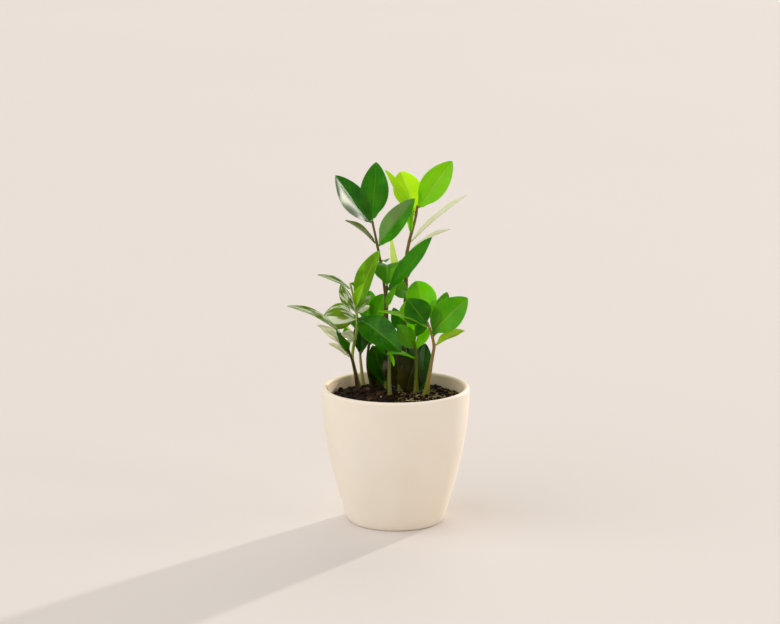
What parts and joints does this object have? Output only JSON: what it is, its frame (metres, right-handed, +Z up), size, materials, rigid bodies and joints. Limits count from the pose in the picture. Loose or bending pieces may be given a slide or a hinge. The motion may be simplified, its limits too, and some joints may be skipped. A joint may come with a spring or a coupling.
{
  "type": "potted zz plant",
  "caption": "Young potted house plant: glossy pointed leaflets on upright fleshy stems, growing from dark soil in a plain matt cream pot with a rounded belly and a flat base.",
  "frame": {"origin": "centre of the pot's flat base, on the surface it stands on", "axes": "+Z up along the pot's axis, +X to the right and -Y towards the viewer in the front view"},
  "size_m": [0.1715, 0.1406, 0.341],
  "materials": {
    "pot": "matte",
    "soil": "matte",
    "rhizome": "matte",
    "green_stem": "satin",
    "brown_stem": "satin",
    "dark_leaf": "gloss",
    "fresh_leaf": "gloss"
  },
  "bodies": {
    "root": {"pot": "pot", "soil": "soil", "rhizome_left": "rhizome", "rhizome_right": "rhizome", "stem_low_left": "brown_stem", "stem_middle_left": "green_stem", "stem_back_left": "green_stem", "stem_back_middle": "brown_stem", "stem_tall_left": "green_stem", "stem_front": "green_stem", "stem_tall_right": "brown_stem", "stem_back_right": "green_stem", "stem_middle_right": "green_stem", "stem_low_right": "brown_stem", "leaf_tall_left_1": "dark_leaf", "leaf_tall_left_2": "dark_leaf", "leaf_tall_left_3": "dark_leaf", "leaf_tall_left_4": "dark_leaf", "leaf_tall_left_5": "dark_leaf", "leaf_tall_left_6": "dark_leaf", "leaf_tall_left_7": "dark_leaf", "leaf_tall_right_1": "fresh_leaf", "leaf_tall_right_2": "fresh_leaf", "leaf_tall_right_3": "fresh_leaf", "leaf_tall_right_4": "fresh_leaf", "leaf_tall_right_5": "fresh_leaf", "leaf_tall_right_6": "fresh_leaf", "leaf_tall_right_7": "fresh_leaf", "leaf_tall_right_8": "fresh_leaf", "leaf_tall_right_9": "fresh_leaf", "leaf_middle_left_1": "dark_leaf", "leaf_middle_left_2": "dark_leaf", "leaf_middle_left_3": "dark_leaf", "leaf_middle_left_4": "dark_leaf", "leaf_middle_left_5": "dark_leaf", "leaf_middle_left_6": "dark_leaf", "leaf_low_left_1": "dark_leaf", "leaf_low_left_2": "dark_leaf", "leaf_low_left_3": "dark_leaf", "leaf_low_left_4": "dark_leaf", "leaf_front_1": "dark_leaf", "leaf_front_2": "dark_leaf", "leaf_front_3": "dark_leaf", "leaf_front_4": "dark_leaf", "leaf_back_left_1": "dark_leaf", "leaf_back_left_2": "dark_leaf", "leaf_back_middle_1": "dark_leaf", "leaf_back_middle_2": "dark_leaf", "leaf_back_right_1": "dark_leaf", "leaf_back_right_2": "dark_leaf", "leaf_back_right_3": "dark_leaf", "leaf_middle_right_1": "dark_leaf", "leaf_middle_right_2": "dark_leaf", "leaf_middle_right_3": "dark_leaf", "leaf_middle_right_4": "dark_leaf", "leaf_low_right_1": "dark_leaf", "leaf_low_right_2": "dark_leaf", "leaf_low_right_3": "dark_leaf", "leaf_low_right_4": "dark_leaf", "leaf_low_right_5": "dark_leaf"}
  },
  "joints": []
}
